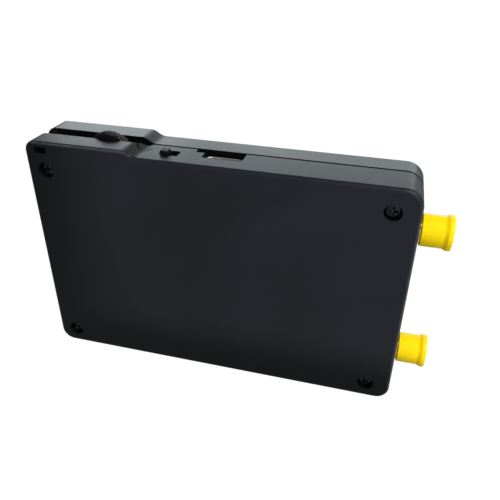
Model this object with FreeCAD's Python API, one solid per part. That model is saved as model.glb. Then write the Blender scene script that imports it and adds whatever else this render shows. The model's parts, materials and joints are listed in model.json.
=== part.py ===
import FreeCAD, Part
import math
import os

V = FreeCAD.Vector

# Handheld two-port radio network analyzer, standing on its long lower edge.
# X runs along its length, left to right as seen from behind.
# Y runs through its depth, from the back cover to the screen side. Z is up.
# The origin is the middle of the edge face that it stands on. All sizes are in millimetres.

# Case
CASE_W = 90.0           # length
CASE_H = 57.0           # height of the lower, right stretch of the top side
RAISE = 1.35            # how far the left stretch of the top side stands higher
CASE_T = 16.4           # depth
RAISED_CORNER_R = 2.5   # corners of the outline: at the raised end of the top side,
PORT_CORNER_R = 4.2     # at the end with the ports,
LOW_CORNER_R = 3.3      # and at both ends of the standing edge
EDGE_R = 0.85           # rounded edges of the two big faces
WALL = 1.8              # side walls
BACK_WALL = 1.8
FRONT_WALL = 1.6
BACK_RAMP = (24.8, 27.3)    # along the length, where the raised top of each cover falls to the lower top
FRONT_RAMP = (25.85, 28.05)
RAMP_R = 2.5            # how softly it starts and ends
PARTING = 9.3           # depth of the back cover
SEAM = 0.7              # dark line between the covers
LIP_T = 0.9             # thin lip of the front cover inside the back cover
LIP_H = 1.2
FIT = 0.05              # running fit, on each side

# Screws in the corners of the back face, from the left end and the lower edge
SCREWS = [(4.7, 4.25), (84.1, 4.25), (84.1, 51.5), (4.7, 51.5)]
SCREW_BORE_R = 1.95
SCREW_HEAD_R = 1.75
SCREW_HEAD_TOP = 0.9    # below the back face
SCREW_SEAT = 2.2
SCREW_R = 1.0
SCREW_END = 13.2
SCREW_GUIDE_R = 1.15
BOSS_R = 2.5
DRIVE_R = 0.9           # hexagon drive in the head
DRIVE_DEPTH = 0.8

# Gap between the covers for the jog wheel, and the scoop beside it
GAP_NEAR = 6.0          # depth of its near edge
GAP_CORNER = 1.0        # how deep it is round the left corner
GAP_OPEN = 9.0          # from here on it goes right through the wall
GAP_RUN_OUT = [(24.7, 6.0), (26.0, 7.6), (27.9, 8.5), (28.4, 9.3)]  # how its near edge meets the seam
GAP_LOW = 53.0          # how far down the left end it runs
CRESCENT_X = 27.3       # thin curved groove beside the end of the gap
CRESCENT_Y = 6.9
CRESCENT_R = 1.9
CRESCENT_W = 0.28
CRESCENT_DEPTH = 0.3

# Lanyard slot: in through the back face, out through the corner gap
LANYARD_X = 4.1
LANYARD_Z = 56.4
LANYARD_W = 3.0
LANYARD_H = 1.5
LANYARD_OUT = 8.4

# Main board
BOARD_BACK = 8.5
BOARD_T = 1.6
BOARD_FRONT = BOARD_BACK + BOARD_T
BOARD_LEFT = 2.8
BOARD_RIGHT = 86.0
BOARD_LOW = 2.8
BOARD_HIGH = 54.1
BOARD_HOLE_R = 1.3
BOARD_NOTCH = (9.5, 27.5)   # cut away under the jog wheel
BOARD_NOTCH_Z = 47.4

# Jog wheel
JOG_X = 18.0
JOG_Z = 53.9
JOG_R = 5.8
JOG_HALF = 62.0         # half the angle of its rim, degrees
JOG_HUB_R = 2.3
JOG_BACK = 6.4
JOG_FRONT = 8.8
JOG_PIN_R = 0.6
JOG_TEETH = 22
JOG_TOOTH_R = 0.28
JOG_PUSH = 0.8          # how far it presses down
JOG_BASE_X = (13.0, 23.0)
JOG_BASE_Y = 4.0
JOG_BASE_Z = (41.4, 47.2)
JOG_COVER_T = 0.3
CARRIER_X = (15.0, 21.0)
CARRIER_Y = (4.8, 6.0)
CARRIER_LOW = 42.9

# Power switch
SWITCH_SLOT_X = (31.6, 36.1)
SWITCH_SLOT_Y = (3.9, 6.9)
KNOB_X = (31.9, 33.8)
KNOB_Y = (4.2, 6.4)
KNOB_TOP = 58.1
KNOB_TRAVEL = 2.0
SWITCH_X = (29.7, 38.1)
SWITCH_Y = 3.6
SWITCH_Z = (49.4, 53.4)
CAN_T = 0.25
KNOB_FOOT = 0.8         # how much wider its foot is, on each side
KNOB_GROOVE = 0.38      # width of the grooves between its three ribs, and of the ribs
WELL_FLOOR = 51.2
WELL_X = (KNOB_X[0] - KNOB_FOOT - 0.4, KNOB_X[1] + KNOB_FOOT + KNOB_TRAVEL + 0.3)

# USB-C socket
USB_X = 46.2
USB_W = 8.94
USB_T = 3.2
USB_MOUTH = 56.0
USB_DEPTH = 7.3
USB_WALL = 0.3
USB_CUT_X = (41.45, 50.85)
USB_CUT_Y = 4.9
USB_NOTCH_X = (39.3, 41.45)
USB_NOTCH_Y = 7.7
USB_NOTCH_DEPTH = 0.8

# Coaxial sockets and their dust caps, at the right end
PORT_HEIGHTS = {"lower": 10.0, "upper": 43.9}
PORT_Y = PARTING
PORT_HOLE_R = 3.5
PORT_R = 3.15           # outside of the quarter-inch thread
PORT_BORE_R = 2.3
PORT_REACH = 6.9        # beyond the case
PORT_FLANGE = 6.6
PORT_FLANGE_T = 1.9
PORT_MOUTH = 1.9        # how deep its mouth is, down to the insulator
LEG_REACH = 4.0         # legs that hold the board's edge between them
LEG_T = 1.0
LEG_W = 0.8
CONTACT_R = 0.64
CONTACT_BORE_R = 0.4
CONTACT_TAIL = 0.7
THREAD_START = 1.6      # beyond the case
THREAD_TURNS = 7
THREAD_PITCH = 0.706    # 36 turns to the inch
THREAD_DEPTH = 0.25
CAP_START = 0.85
CAP_END = 7.6
CAP_R = 3.68
CAP_RIM_R = 4.05
CAP_RIM_T = 1.4
CAP_BORE_R = PORT_R + 0.08
CAP_BACK = 0.6

# Battery
BATTERY_X = (14.0, 66.0)
BATTERY_Y = (2.3, 7.3)
BATTERY_Z = (4.0, 38.0)
LEAD_R = 0.4
LEAD_Y = 5.9
LEAD_ROUTES = {"red": (33.0, 71.2), "black": (31.4, 72.8)}
PLUG_X = (69.6, 74.4)
PLUG_Y = (4.9, 6.9)
PLUG_Z = (41.0, 44.4)
PLUG_OVERLAP = 1.6      # how far the plug is in its socket
SOCKET_HIGH = 47.6

# Display stack
DISPLAY_X = (9.5, 78.7)
DISPLAY_Z = (3.5, 53.5)
DISPLAY_BACK = 11.9
GLASS_BACK = 13.3
GLASS_FRONT = 14.1
TOUCH_BACK = 14.3
TOUCH_FRONT = CASE_T - FRONT_WALL
WINDOW_X = (15.0, 73.2)
WINDOW_Z = (6.6, 50.4)
WINDOW_BEVEL = 0.8
DISPLAY_RIM = 0.6       # metal frame around the glass
GLASS_PLAY = 0.1
RIBBON_T = 0.15
RIBBON_Z = (20.0, 36.0)
RIBBON_SOCKET_X = (72.6, 76.0)
RIBBON_SOCKET_Z = (19.0, 37.0)

# Parts on the board
CHIP_MARK_R = 0.35
CHIP_MARK_DEPTH = 0.1
SHIELD_WALL = 0.2
SHIELD_T = 2.0
SHIELD_X = (68.5, 81.0)
SMALL_PITCH = 2.6       # between the small chip parts, both ways

# Small walls inside the back cover
RIB_T = 1.0
RIB_GAP = 0.3           # between a rib and the battery
RIB_TALL = 5.2
RIB_LOW = 4.6
LANYARD_WALL_X = (1.0, 7.2)
LANYARD_WALL_Z = 54.6


def at_x(along):
    return along - CASE_W / 2


def at_y(depth):
    return depth - CASE_T / 2


def save(node, *shapes):
    shape = shapes[0] if len(shapes) == 1 else Part.makeCompound(list(shapes))
    shape.exportStep("parts/" + node + ".step")
    print(node, "volume", round(shape.Volume, 2), "valid", shape.isValid())


def block(x_range, y_range, z_range):
    """A box from distances along the length, through the depth and up."""
    size = [b - a for a, b in (x_range, y_range, z_range)]
    corner = V(at_x(x_range[0]), at_y(y_range[0]), z_range[0])
    return Part.makeBox(size[0], size[1], size[2], corner)


def rod(radius, along, depth_range, height):
    """A round rod through the depth."""
    base = V(at_x(along), at_y(depth_range[0]), height)
    return Part.makeCylinder(radius, depth_range[1] - depth_range[0], base, V(0, 1, 0))


def rod_x(radius, x_range, height):
    """A round rod along the length, on the axis of a coaxial socket."""
    base = V(at_x(x_range[0]), at_y(PORT_Y), height)
    return Part.makeCylinder(radius, x_range[1] - x_range[0], base, V(1, 0, 0))


def soften(shape, radius, axis):
    """Round the edges that run along one axis (0, 1 or 2)."""
    picked = []
    for edge in shape.Edges:
        a, b = edge.Vertexes[0].Point, edge.Vertexes[-1].Point
        across = [abs(a[i] - b[i]) for i in range(3) if i != axis]
        if abs(a[axis] - b[axis]) > 0.1 and max(across) < 1e-6:
            picked.append(edge)
    return shape.makeFillet(radius, picked)


def fuse(first, *others):
    return first.multiFuse(list(others)).removeSplitter()


def slab(inset, depth_range, ramp=BACK_RAMP):
    """The outline of the case, drawn in by inset, as a slab through part of the depth."""
    left, right = inset, CASE_W - inset
    low, high = inset, CASE_H - inset
    raised = CASE_H + RAISE - inset
    outline = [(left, low), (right, low), (right, high), (ramp[1], high), (ramp[0], raised), (left, raised)]
    points = [V(at_x(x), at_y(depth_range[0]), z) for x, z in outline]
    face = Part.Face(Part.makePolygon(points + points[:1]))
    body = face.extrude(V(0, depth_range[1] - depth_range[0], 0))
    radii = [LOW_CORNER_R, LOW_CORNER_R, PORT_CORNER_R, RAMP_R, RAMP_R, RAISED_CORNER_R]
    for (x, z), radius in zip(outline, radii):
        here = [e for e in body.Edges if is_upright_at(e, at_x(x), z)]
        smaller = radius if radius == RAMP_R else max(radius - inset, 0.6)
        body = body.makeFillet(smaller, here)
    return body


def is_upright_at(edge, x, z):
    """Whether the edge runs straight through the depth at this place in the outline."""
    return all(abs(v.Point.x - x) < 1e-4 and abs(v.Point.z - z) < 1e-4 for v in edge.Vertexes)


def round_face(body, depth):
    """Round the outer edges that lie in the plane at this depth."""
    picked = [e for e in body.Edges if all(abs(v.Point.y - at_y(depth)) < 1e-6 for v in e.Vertexes)]
    return body.makeFillet(EDGE_R, picked)


def port_holes():
    return [rod_x(PORT_HOLE_R, (CASE_W - 4, CASE_W + 2), height) for height in PORT_HEIGHTS.values()]


def jog_gap():
    """What is cut from the back cover's rim for the wheel, with the shallow run round the corner."""
    beyond = PARTING + 1
    plan = [(GAP_OPEN, GAP_NEAR)] + GAP_RUN_OUT + [(GAP_RUN_OUT[-1][0], beyond), (GAP_OPEN, beyond)]
    points = [V(at_x(x), at_y(y), CASE_H - 5) for x, y in plan]
    through = Part.Face(Part.makePolygon(points + points[:1])).extrude(V(0, 0, 10))
    ring = slab(-1, (GAP_NEAR, PARTING + 1)).cut(slab(GAP_CORNER, (GAP_NEAR - 1, PARTING + 2)))
    around = ring.common(block((-2, GAP_OPEN + 1), (0, CASE_T), (GAP_LOW, CASE_H + 5)))
    return [through, around]


def lanyard_slot():
    left, right = LANYARD_X - LANYARD_W / 2, LANYARD_X + LANYARD_W / 2
    low, high = LANYARD_Z - LANYARD_H / 2, LANYARD_Z + LANYARD_H / 2
    way_in = soften(block((left, right), (-1, LANYARD_OUT), (low, high)), 0.3, 1)
    way_out = block((left, right), (GAP_NEAR + 0.3, LANYARD_OUT), (low + 0.3, CASE_H + 3))
    return [way_in, way_out]


def back_cover():
    shell = round_face(slab(0, (0, PARTING)), 0)
    shell = shell.cut(slab(WALL, (BACK_WALL, PARTING + 1)))
    inner = slab(WALL - 0.2, (0.2, PARTING))
    floor = BACK_WALL - 0.3
    bosses = [rod(BOSS_R, x, (floor, BOARD_BACK), z).common(inner) for x, z in SCREWS]
    lanyard_wall = block(LANYARD_WALL_X, (floor, PARTING), (LANYARD_WALL_Z, CASE_H + 1)).common(inner)
    x0, x1 = BATTERY_X
    z0, z1 = BATTERY_Z
    ribs = [
        block((x0 - RIB_GAP - RIB_T, x0 - RIB_GAP), (floor, RIB_TALL), (z0 + 4, z1 - 4)),
        block((x1 + RIB_GAP, x1 + RIB_GAP + RIB_T), (floor, RIB_LOW), (z0 + 4, z1 - 12)),
        block((x0 + 6, x1 - 6), (floor, RIB_LOW), (z1 + RIB_GAP, z1 + RIB_GAP + RIB_T)),
    ]
    shell = fuse(shell, lanyard_wall, *(bosses + ribs))
    cuts = []
    for x, z in SCREWS:
        cuts.append(rod(SCREW_BORE_R, x, (-1, SCREW_SEAT), z))
        cuts.append(rod(SCREW_GUIDE_R, x, (0, PARTING), z))
    cuts += port_holes() + jog_gap() + lanyard_slot()
    top = (CASE_H - 4, CASE_H + 4)
    cuts.append(soften(block(SWITCH_SLOT_X, SWITCH_SLOT_Y, top), 0.4, 2))
    cuts.append(soften(block(USB_CUT_X, (USB_CUT_Y, PARTING + 1), top), 0.4, 2))
    cuts.append(block(USB_NOTCH_X, (USB_NOTCH_Y, PARTING + 1), (CASE_H - USB_NOTCH_DEPTH, CASE_H + 4)))
    cuts.append(crescent())
    return shell.cut(cuts).removeSplitter()


def crescent():
    """The thin curved groove beside the end of the gap: the near half of a ring."""
    base = V(at_x(CRESCENT_X), at_y(CRESCENT_Y), CASE_H - CRESCENT_DEPTH)
    ring = Part.makeCylinder(CRESCENT_R, 4, base).cut(Part.makeCylinder(CRESCENT_R - CRESCENT_W, 4, base))
    near_half = block((CRESCENT_X - 3, CRESCENT_X + 3), (CRESCENT_Y - 3, CRESCENT_Y), (CASE_H - 1, CASE_H + 5))
    return ring.common(near_half)


def front_cover():
    start = PARTING + SEAM
    shell = round_face(slab(0, (start, CASE_T), FRONT_RAMP), CASE_T)
    shell = shell.cut(slab(WALL, (start - 1, CASE_T - FRONT_WALL), FRONT_RAMP))
    inner = slab(WALL - 0.2, (0.2, CASE_T - 0.2), FRONT_RAMP)
    bosses = [rod(BOSS_R, x, (BOARD_FRONT, CASE_T - FRONT_WALL + 0.3), z).common(inner) for x, z in SCREWS]
    lip = slab(WALL + FIT, (PARTING - LIP_H, start + 0.6))
    lip = lip.cut(slab(WALL + FIT + LIP_T, (0, CASE_T)))
    clear = [
        block((GAP_OPEN - 3, USB_CUT_X[1] + 1), (0, start), (CASE_H - 6, CASE_H + 4)),
        block((0, GAP_OPEN), (0, start), (GAP_LOW - 1, CASE_H + 4)),
    ]
    for height in PORT_HEIGHTS.values():
        clear.append(block((CASE_W - 6, CASE_W), (0, start), (height - 4.6, height + 4.6)))
    for x, z in SCREWS:
        clear.append(rod(BOSS_R + 0.3, x, (0, start), z))
    lip = lip.cut(clear)
    joined = slab(WALL - 0.3, (start, start + 0.6), FRONT_RAMP).cut(slab(WALL + FIT + LIP_T, (0, CASE_T)))
    shell = fuse(shell, lip, joined, *bosses)
    cuts = [rod(SCREW_R, x, (BOARD_FRONT - 1, SCREW_END + 0.4), z) for x, z in SCREWS]
    cuts += port_holes()
    cuts.append(window_cut())
    return shell.cut(cuts).removeSplitter()


def window_cut():
    """The display window, wider at the outside, as a loft between two rectangles."""
    rings = []
    for depth, grow in ((TOUCH_FRONT - 1, 0.0), (TOUCH_FRONT + 0.4, 0.0), (CASE_T + 0.01, WINDOW_BEVEL)):
        x0, x1 = WINDOW_X[0] - grow, WINDOW_X[1] + grow
        z0, z1 = WINDOW_Z[0] - grow, WINDOW_Z[1] + grow
        points = [V(at_x(x), at_y(depth), z) for x, z in ((x0, z0), (x1, z0), (x1, z1), (x0, z1))]
        rings.append(Part.makePolygon(points + points[:1]))
    return Part.makeLoft(rings, True, True)


def case_screw(x, z):
    head = rod(SCREW_HEAD_R, x, (SCREW_HEAD_TOP, SCREW_SEAT), z)
    rim = [e for e in head.Edges if abs(e.BoundBox.YMax - at_y(SCREW_HEAD_TOP)) < 1e-6]
    head = head.makeFillet(0.35, rim)
    shank = rod(SCREW_R, x, (SCREW_SEAT - 0.1, SCREW_END), z)
    corners = []
    for turn in range(7):
        angle = math.radians(60 * turn + 30)
        corners.append(V(at_x(x) + DRIVE_R * math.cos(angle), at_y(0), z + DRIVE_R * math.sin(angle)))
    drive = Part.Face(Part.makePolygon(corners)).extrude(V(0, SCREW_HEAD_TOP + DRIVE_DEPTH, 0))
    return fuse(head, shank).cut(drive)


def main_board():
    board = block((BOARD_LEFT, BOARD_RIGHT), (BOARD_BACK, BOARD_FRONT), (BOARD_LOW, BOARD_HIGH))
    board = soften(board, 2.5, 1)
    cuts = [rod(BOARD_HOLE_R, x, (BOARD_BACK - 1, BOARD_FRONT + 1), z) for x, z in SCREWS]
    cuts.append(block(BOARD_NOTCH, (BOARD_BACK - 1, BOARD_FRONT + 1), (BOARD_NOTCH_Z, CASE_H)))
    return board.cut(cuts)


def battery():
    return soften(block(BATTERY_X, BATTERY_Y, BATTERY_Z), 1.6, 2)


def battery_tape():
    x0, x1 = BATTERY_X
    z0, z1 = BATTERY_Z
    return block((x0 + 5, x1 - 5), (BACK_WALL, BATTERY_Y[0]), (z0 + 5, z1 - 5))


def battery_lead(height, corner_x):
    """A lead out of the cell's end, with one bend up to its plug."""
    start = V(at_x(BATTERY_X[1]), at_y(LEAD_Y), height)
    turn = V(at_x(corner_x), at_y(LEAD_Y), height)
    end = V(at_x(corner_x), at_y(LEAD_Y), PLUG_Z[0])
    shorter = min((turn - start).Length, (end - turn).Length)
    radius = 0.45 * shorter
    before = V(turn.x - radius, turn.y, turn.z)
    after = V(turn.x, turn.y, turn.z + radius)
    centre = V(turn.x - radius, turn.y, turn.z + radius)
    half = math.radians(-45)
    middle = centre + V(radius * math.cos(half), 0, radius * math.sin(half))
    path = Part.Wire([
        Part.LineSegment(start, before).toShape(),
        Part.Arc(before, middle, after).toShape(),
        Part.LineSegment(after, end).toShape(),
    ])
    section = Part.Wire([Part.makeCircle(LEAD_R, start, V(1, 0, 0))])
    tube = path.makePipeShell([section], True, False)
    expected = math.pi * LEAD_R ** 2 * path.Length
    print("lead bend radius", round(radius, 2))
    print("lead volume", round(tube.Volume, 3), "expected", round(expected, 3))
    return tube


def battery_plug():
    return soften(block(PLUG_X, PLUG_Y, PLUG_Z), 0.3, 2)


def battery_socket():
    outer = block((PLUG_X[0] - 0.5, PLUG_X[1] + 0.5), (PLUG_Y[0] - 0.5, BOARD_BACK),
                  (PLUG_Z[1] - PLUG_OVERLAP, SOCKET_HIGH))
    return outer.cut(block(PLUG_X, PLUG_Y, PLUG_Z))


def jog_base():
    base = block(JOG_BASE_X, (JOG_BASE_Y, BOARD_BACK), JOG_BASE_Z)
    channel = block((CARRIER_X[0] - FIT, CARRIER_X[1] + FIT), (CARRIER_Y[0] - FIT, CARRIER_Y[1] + FIT),
                    (CARRIER_LOW - JOG_PUSH - 0.1, JOG_BASE_Z[1] + 1))
    return base.cut(channel)


def jog_cover():
    plate = block(JOG_BASE_X, (JOG_BASE_Y - JOG_COVER_T, JOG_BASE_Y), JOG_BASE_Z)
    return plate.cut(rod(0.8, JOG_X, (0, JOG_BASE_Y), JOG_BASE_Z[0] + 2.8))


def jog_carrier():
    plate = block(CARRIER_X, CARRIER_Y, (CARRIER_LOW, JOG_Z + 1.6))
    plate = soften(plate, 1.0, 1)
    pin = rod(JOG_PIN_R, JOG_X, (CARRIER_Y[1] - 0.2, JOG_FRONT + 0.15), JOG_Z)
    return fuse(plate, pin)


def jog_wheel():
    """A thumb wheel that is a sector of a disc, with teeth along its rim."""
    depth = (JOG_BACK, JOG_FRONT)
    centre = V(at_x(JOG_X), at_y(JOG_BACK), JOG_Z)
    points = []
    for turn in (90 + JOG_HALF, 90, 90 - JOG_HALF):
        angle = math.radians(turn)
        points.append(centre + V(JOG_R * math.cos(angle), 0, JOG_R * math.sin(angle)))
    sector = Part.Face(Part.Wire([
        Part.LineSegment(centre, points[0]).toShape(),
        Part.Arc(points[0], points[1], points[2]).toShape(),
        Part.LineSegment(points[2], centre).toShape(),
    ])).extrude(V(0, JOG_FRONT - JOG_BACK, 0))
    wheel = fuse(sector, rod(JOG_HUB_R, JOG_X, depth, JOG_Z))
    teeth = []
    for tooth in range(JOG_TEETH):
        angle = math.radians(90 - JOG_HALF + 2 * JOG_HALF * (tooth + 0.5) / JOG_TEETH)
        x = JOG_X + (JOG_R + 0.05) * math.cos(angle)
        z = JOG_Z + (JOG_R + 0.05) * math.sin(angle)
        teeth.append(rod(JOG_TOOTH_R, x, (JOG_BACK - 1, JOG_FRONT + 1), z))
    bore = rod(JOG_PIN_R + FIT, JOG_X, (JOG_BACK - 1, JOG_FRONT + 1), JOG_Z)
    return wheel.cut(teeth + [bore])


def switch_base():
    base = block(SWITCH_X, (SWITCH_Y, BOARD_BACK), SWITCH_Z)
    well = block(WELL_X, (KNOB_Y[0] - 0.1, KNOB_Y[1] + 0.1), (WELL_FLOOR, SWITCH_Z[1] + 1))
    return base.cut(well)


def switch_can():
    outer = block((SWITCH_X[0] - CAN_T, SWITCH_X[1] + CAN_T), (SWITCH_Y - CAN_T, BOARD_BACK),
                  (SWITCH_Z[0], SWITCH_Z[1] + CAN_T))
    inner = block(SWITCH_X, (SWITCH_Y, BOARD_BACK + 1), (SWITCH_Z[0] - 1, SWITCH_Z[1]))
    slot = block(WELL_X, (KNOB_Y[0] - 0.1, KNOB_Y[1] + 0.1), (SWITCH_Z[1] - 1, CASE_H))
    return outer.cut([inner, slot])


def switch_knob():
    stem = block(KNOB_X, KNOB_Y, (SWITCH_Z[1] - 0.5, KNOB_TOP))
    stem = soften(stem, 0.25, 2)
    foot_x = (KNOB_X[0] - KNOB_FOOT, KNOB_X[1] + KNOB_FOOT)
    foot = block(foot_x, KNOB_Y, (WELL_FLOOR + 0.1, SWITCH_Z[1] - 0.1))
    grooves = []
    across = (KNOB_Y[0] - 1, KNOB_Y[1] + 1)
    for groove in range(2):
        x = KNOB_X[0] + KNOB_GROOVE * (1 + 2 * groove)
        grooves.append(block((x, x + KNOB_GROOVE), across, (KNOB_TOP - KNOB_GROOVE, KNOB_TOP + 1)))
    return fuse(stem, foot).cut(grooves)


def usb_outline(inset, z_range):
    """The oval of the socket's shell, drawn in by inset, as a prism."""
    half_w, half_t = USB_W / 2 - inset, USB_T / 2 - inset
    middle = BOARD_BACK - USB_T / 2
    body = block((USB_X - half_w, USB_X + half_w), (middle - half_t, middle + half_t), z_range)
    return soften(body, half_t * 0.8, 2)


def usb_shell():
    foot = USB_MOUTH - USB_DEPTH
    return usb_outline(0, (foot, USB_MOUTH)).cut(usb_outline(USB_WALL, (foot + 1.0, USB_MOUTH + 1)))


def usb_tongue():
    middle = BOARD_BACK - USB_T / 2
    foot = USB_MOUTH - USB_DEPTH + 1.0
    base = usb_outline(USB_WALL, (foot, foot + 1.2))
    blade = block((USB_X - 3.35, USB_X + 3.35), (middle - 0.35, middle + 0.35), (foot + 0.5, USB_MOUTH - 1.0))
    return fuse(base, blade)


def port_body(height):
    start = CASE_W - WALL - PORT_FLANGE_T
    half = PORT_FLANGE / 2
    flange = block((start, CASE_W - WALL), (PORT_Y - half, PORT_Y + half), (height - half, height + half))
    barrel = rod_x(PORT_R, (CASE_W - WALL - 0.2, CASE_W + PORT_REACH), height)
    threads = []
    for turn in range(THREAD_TURNS):
        ring_start = CASE_W + THREAD_START + turn * THREAD_PITCH
        groove = (ring_start, ring_start + THREAD_PITCH / 2)
        threads.append(rod_x(PORT_R + 1, groove, height).cut(rod_x(PORT_R - THREAD_DEPTH, groove, height)))
    legs = []
    for depth in ((BOARD_BACK - LEG_T, BOARD_BACK), (BOARD_FRONT, BOARD_FRONT + LEG_T)):
        for low in (height - half + 0.3, height + half - 0.3 - LEG_W):
            legs.append(block((start - LEG_REACH, start + 0.2), depth, (low, low + LEG_W)))
    bore = rod_x(PORT_BORE_R, (start - 1, CASE_W + PORT_REACH + 1), height)
    return fuse(flange, barrel, *legs).cut(threads + [bore])


def port_insulator(height):
    start = CASE_W - WALL - PORT_FLANGE_T
    plug = rod_x(PORT_BORE_R, (start, CASE_W + PORT_REACH - PORT_MOUTH), height)
    return plug.cut(rod_x(CONTACT_R, (start - 1, CASE_W + PORT_REACH), height))


def port_contact(height):
    start = CASE_W - WALL - PORT_FLANGE_T
    width = (height - CONTACT_TAIL / 2, height + CONTACT_TAIL / 2)
    pin = rod_x(CONTACT_R, (start - 0.2, CASE_W + PORT_REACH - PORT_MOUTH), height)
    tail = block((start - 2.5, start), (BOARD_FRONT, BOARD_FRONT + 0.3), width)
    link = block((start - 0.2, start), (PORT_Y, BOARD_FRONT + 0.3), width)
    socket = rod_x(CONTACT_BORE_R, (CASE_W + 1, CASE_W + PORT_REACH), height)
    return fuse(pin, link, tail).cut(socket)


def dust_cap(height):
    """A push-on cap: a profile turned about the socket's axis, with a wider rim at its closed end."""
    start, end = CASE_W + CAP_START, CASE_W + CAP_END
    rim = end - CAP_RIM_T
    profile = [
        (start, CAP_BORE_R), (start, CAP_R - 0.15), (start + 0.15, CAP_R), (rim - 0.5, CAP_R),
        (rim + 0.2, CAP_RIM_R), (end - 0.2, CAP_RIM_R), (end, CAP_RIM_R - 0.2), (end, 0.0),
        (end - CAP_BACK, 0.0), (end - CAP_BACK, CAP_BORE_R),
    ]
    points = [V(at_x(x), at_y(PORT_Y), height + r) for x, r in profile]
    face = Part.Face(Part.makePolygon(points + points[:1]))
    return face.revolve(V(0, at_y(PORT_Y), height), V(1, 0, 0), 360)


def display_frame():
    tray = block(DISPLAY_X, (DISPLAY_BACK, GLASS_FRONT), DISPLAY_Z)
    well_x = (DISPLAY_X[0] + DISPLAY_RIM, DISPLAY_X[1] - DISPLAY_RIM)
    well_z = (DISPLAY_Z[0] + DISPLAY_RIM, DISPLAY_Z[1] - DISPLAY_RIM)
    return tray.cut(block(well_x, (GLASS_BACK, GLASS_FRONT + 1), well_z))


def display_glass():
    edge = DISPLAY_RIM + GLASS_PLAY
    glass_x = (DISPLAY_X[0] + edge, DISPLAY_X[1] - edge)
    glass_z = (DISPLAY_Z[0] + edge, DISPLAY_Z[1] - edge)
    return block(glass_x, (GLASS_BACK, GLASS_FRONT - GLASS_PLAY), glass_z)


def display_gasket():
    outer = block(DISPLAY_X, (GLASS_FRONT, TOUCH_BACK), DISPLAY_Z)
    return outer.cut(block(WINDOW_X, (0, CASE_T), WINDOW_Z))


def touch_panel():
    return block(DISPLAY_X, (TOUCH_BACK, TOUCH_FRONT), DISPLAY_Z)


def display_ribbon():
    """A flat cable out of the display's end, bent back down to its socket on the board."""
    reach = DISPLAY_X[1] + 1.6
    out_y = (DISPLAY_BACK + 0.6, DISPLAY_BACK + 0.6 + RIBBON_T)
    in_y = (BOARD_FRONT + 0.5, BOARD_FRONT + 0.5 + RIBBON_T)
    out = block((DISPLAY_X[1], reach), out_y, RIBBON_Z)
    drop = block((reach - RIBBON_T, reach), (in_y[0], out_y[1]), RIBBON_Z)
    back = block((RIBBON_SOCKET_X[1], reach), in_y, RIBBON_Z)
    return fuse(out, drop, back)


def ribbon_socket():
    return block(RIBBON_SOCKET_X, (BOARD_FRONT, BOARD_FRONT + 1.2), RIBBON_SOCKET_Z)


def chip(x, z, size_x, size_z, height):
    """A chip on the screen side of the board, with a marked corner."""
    body = block((x, x + size_x), (BOARD_FRONT, BOARD_FRONT + height), (z, z + size_z))
    mark_y = BOARD_FRONT + height - CHIP_MARK_DEPTH
    return body.cut(rod(CHIP_MARK_R, x + 0.9, (mark_y, mark_y + 1), z + size_z - 0.9))


def shield_can(x_range, z_range):
    top = BOARD_BACK - SHIELD_T
    outer = soften(block(x_range, (top, BOARD_BACK), z_range), 0.5, 1)
    inner_x = (x_range[0] + SHIELD_WALL, x_range[1] - SHIELD_WALL)
    inner_z = (z_range[0] + SHIELD_WALL, z_range[1] - SHIELD_WALL)
    inner = block(inner_x, (top + SHIELD_WALL, BOARD_BACK + 1), inner_z)
    return outer.cut(inner)


def small_parts():
    """Chip resistors and capacitors in rows beside the radio chips."""
    parts = []
    for row in range(3):
        for column in range(7):
            x, z = 14.0 + SMALL_PITCH * column, 38.0 + SMALL_PITCH * row
            parts.append(block((x, x + 1.6), (BOARD_FRONT, BOARD_FRONT + 0.5), (z, z + 0.8)))
    return parts


def status_lamps():
    return [block((x, x + 1.6), (BOARD_FRONT, BOARD_FRONT + 0.7), (50.2, 51.0)) for x in (62.0, 66.0)]


os.makedirs("parts", exist_ok=True)

save("back_cover", back_cover())
save("front_cover", front_cover())
save("case_screws", *[case_screw(x, z) for x, z in SCREWS])
save("main_board", main_board())
save("battery", battery())
save("battery_tape", battery_tape())
for colour, (lead_z, lead_x) in LEAD_ROUTES.items():
    save("battery_lead_" + colour, battery_lead(lead_z, lead_x))
save("battery_plug", battery_plug())
save("battery_socket", battery_socket())
save("jog_base", jog_base())
save("jog_cover_plate", jog_cover())
save("jog_carrier", jog_carrier())
save("jog_wheel", jog_wheel())
save("switch_base", switch_base())
save("switch_can", switch_can())
save("switch_knob", switch_knob())
save("usb_shell", usb_shell())
save("usb_tongue", usb_tongue())
for place, height in PORT_HEIGHTS.items():
    save("port_body_" + place, port_body(height))
    save("port_insulator_" + place, port_insulator(height))
    save("port_contact_" + place, port_contact(height))
    save("dust_cap_" + place, dust_cap(height))
save("display_frame", display_frame())
save("display_glass", display_glass())
save("display_gasket", display_gasket())
save("touch_panel", touch_panel())
save("display_ribbon", display_ribbon())
save("ribbon_socket", ribbon_socket())
save("processor_chip", chip(40.0, 20.0, 7.0, 7.0, 1.2))
save("codec_chip", chip(30.0, 22.0, 5.0, 5.0, 0.9))
save("clock_chip", chip(52.0, 34.0, 3.0, 3.0, 0.9))
save("mixer_chips", *[chip(60.0, z, 4.9, 3.9, 1.2) for z in (10.0, 24.0, 40.0)])
save("power_chip", chip(24.0, 10.0, 3.0, 3.0, 0.9))
save("crystal", soften(block((51.5, 54.7), (BOARD_FRONT, BOARD_FRONT + 0.8), (28.0, 30.5)), 0.3, 1))
save("shield_cans", shield_can(SHIELD_X, (6.0, 19.0)), shield_can(SHIELD_X, (23.0, 37.0)))
save("status_lamps", *status_lamps())
save("small_parts", *small_parts())
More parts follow.
